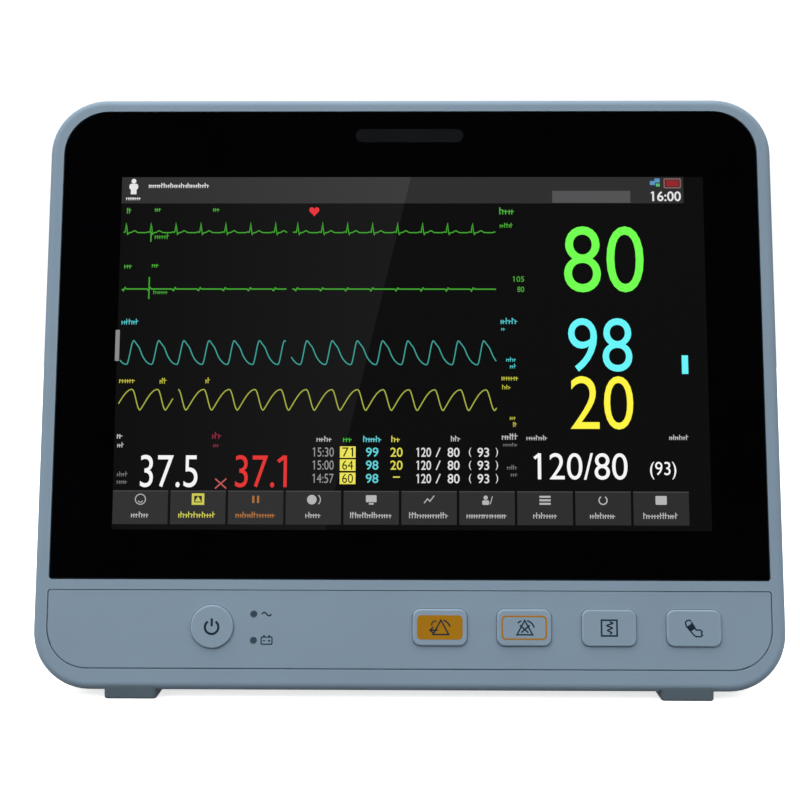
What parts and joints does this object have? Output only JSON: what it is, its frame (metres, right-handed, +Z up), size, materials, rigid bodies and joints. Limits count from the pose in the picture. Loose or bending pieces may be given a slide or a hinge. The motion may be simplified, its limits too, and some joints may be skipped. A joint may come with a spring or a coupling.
{
  "type": "patient monitor",
  "caption": "Bedside monitor with a leaning touch screen, a chin with push keys, side sockets, a side strip recorder, a slide-out battery and a carry bar at the rear.",
  "frame": {"origin": "on the table under the object, midway between its widest sides and between its front and rear", "axes": "+Z up, the screen faces -Y and leans back by 10 degrees, +X to the right of someone facing the screen"},
  "size_m": [0.279, 0.13, 0.2256],
  "materials": {
    "case_blue": "fine moulded texture",
    "foot_grey": "matt",
    "black_glass": "polished, printed black behind",
    "lamp_smoke": "smoked, polished",
    "gasket_rubber": "matt",
    "key_cap": "satin",
    "lens_dark": "polished",
    "circuit_board": "solder mask",
    "black_plastic": "moulded",
    "sheet_metal": "passivated sheet",
    "steel": "plated",
    "brass": "turned",
    "aluminium": "extruded",
    "socket_grey": "moulded",
    "socket_green": "moulded",
    "socket_blue": "moulded",
    "socket_metal": "nickel plated",
    "thermal_paper": "smooth",
    "roller_rubber": "ground",
    "gear_white": "moulded"
  },
  "bodies": {
    "case": {"alarm_lamp_board": "circuit_board", "alarm_lamp_lens": "lamp_smoke", "battery_contacts": "brass", "battery_tray": "black_plastic", "carry_handle": "case_blue", "case_posts": "steel", "case_screws": "steel", "case_seal": "gasket_rubber", "chassis_plate": "sheet_metal", "connector_tray": "case_blue", "display_bracket": "sheet_metal", "display_panel": "sheet_metal", "ecg_socket": "socket_green", "feet": "foot_grey", "frame_screws": "steel", "front_frame": "case_blue", "glass_gasket": "gasket_rubber", "ground_stud": "steel", "handle_cup": "case_blue", "heat_sink": "aluminium", "io_plate": "sheet_metal", "key_board": "circuit_board", "key_panel": "case_blue", "key_switches": "black_plastic", "main_board": "circuit_board", "mains_inlet": "black_plastic", "mount_inserts": "brass", "network_socket": "steel", "oxygen_socket": "socket_blue", "parameter_board": "circuit_board", "power_supply_board": "circuit_board", "pressure_hose": "gasket_rubber", "pressure_pump": "steel", "pressure_socket": "socket_metal", "pressure_valve": "black_plastic", "print_head": "black_plastic", "rear_case": "case_blue", "recorder_hinge_pin": "steel", "recorder_housing": "black_plastic", "recorder_motor": "black_plastic", "socket_panel": "socket_grey", "speaker": "black_plastic", "supply_lenses": "lens_dark", "temperature_sockets": "socket_grey", "touch_glass": "black_glass", "usb_sockets": "steel", "video_socket": "steel"},
    "power_key": {"power_key": "key_cap"},
    "alarm_reset_key": {"alarm_reset_key": "key_cap"},
    "alarm_pause_key": {"alarm_pause_key": "key_cap"},
    "record_key": {"record_key": "key_cap"},
    "pressure_key": {"pressure_key": "key_cap"},
    "recorder_door": {"recorder_door": "case_blue"},
    "recorder_latch": {"recorder_latch": "case_blue"},
    "paper_roll": {"paper_roll": "thermal_paper"},
    "platen": {"platen_roller": "roller_rubber", "platen_gear": "gear_white"},
    "drive_pinion": {"drive_pinion": "gear_white"},
    "battery": {"battery_pack": "black_plastic", "battery_cover": "case_blue"}
  },
  "joints": [
    {"name": "power_press", "type": "slide", "parent": "case", "child": "power_key", "axis": [0, 0.9848, -0.1736], "range_m": [0, 0.001], "stiffness_N_per_m": 1500},
    {"name": "alarm_reset_press", "type": "slide", "parent": "case", "child": "alarm_reset_key", "axis": [0, 0.9848, -0.1736], "range_m": [0, 0.001], "stiffness_N_per_m": 1500},
    {"name": "alarm_pause_press", "type": "slide", "parent": "case", "child": "alarm_pause_key", "axis": [0, 0.9848, -0.1736], "range_m": [0, 0.001], "stiffness_N_per_m": 1500},
    {"name": "record_press", "type": "slide", "parent": "case", "child": "record_key", "axis": [0, 0.9848, -0.1736], "range_m": [0, 0.001], "stiffness_N_per_m": 1500},
    {"name": "pressure_press", "type": "slide", "parent": "case", "child": "pressure_key", "axis": [0, 0.9848, -0.1736], "range_m": [0, 0.001], "stiffness_N_per_m": 1500},
    {"name": "recorder_door_hinge", "type": "hinge", "parent": "case", "child": "recorder_door", "pos_m": [0.1314, 0.01, 0.0309], "axis": [0, 1, 0], "range_deg": [0, 80]},
    {"name": "recorder_latch_press", "type": "slide", "parent": "recorder_door", "child": "recorder_latch", "axis": [-1, 0, 0], "range_m": [0, 0.0015], "stiffness_N_per_m": 800},
    {"name": "paper_roll_spin", "type": "hinge", "parent": "case", "child": "paper_roll", "pos_m": [0.106, 0.01, 0.056], "axis": [0, 1, 0], "continuous": true},
    {"name": "platen_spin", "type": "hinge", "parent": "case", "child": "platen", "pos_m": [0.1265, 0.01, 0.0915], "axis": [0, 1, 0], "continuous": true},
    {"name": "drive_pinion_spin", "type": "hinge", "parent": "case", "child": "drive_pinion", "pos_m": [0.1175, 0.0425, 0.0915], "axis": [0, 1, 0], "continuous": true},
    {"name": "battery_slide", "type": "slide", "parent": "case", "child": "battery", "axis": [-1, 0, 0], "range_m": [0, 0.14]}
  ],
  "couplings": [
    {"joint": "platen_spin", "follows": "paper_roll_spin", "ratio": -3.6},
    {"joint": "drive_pinion_spin", "follows": "paper_roll_spin", "ratio": 7.2}
  ]
}
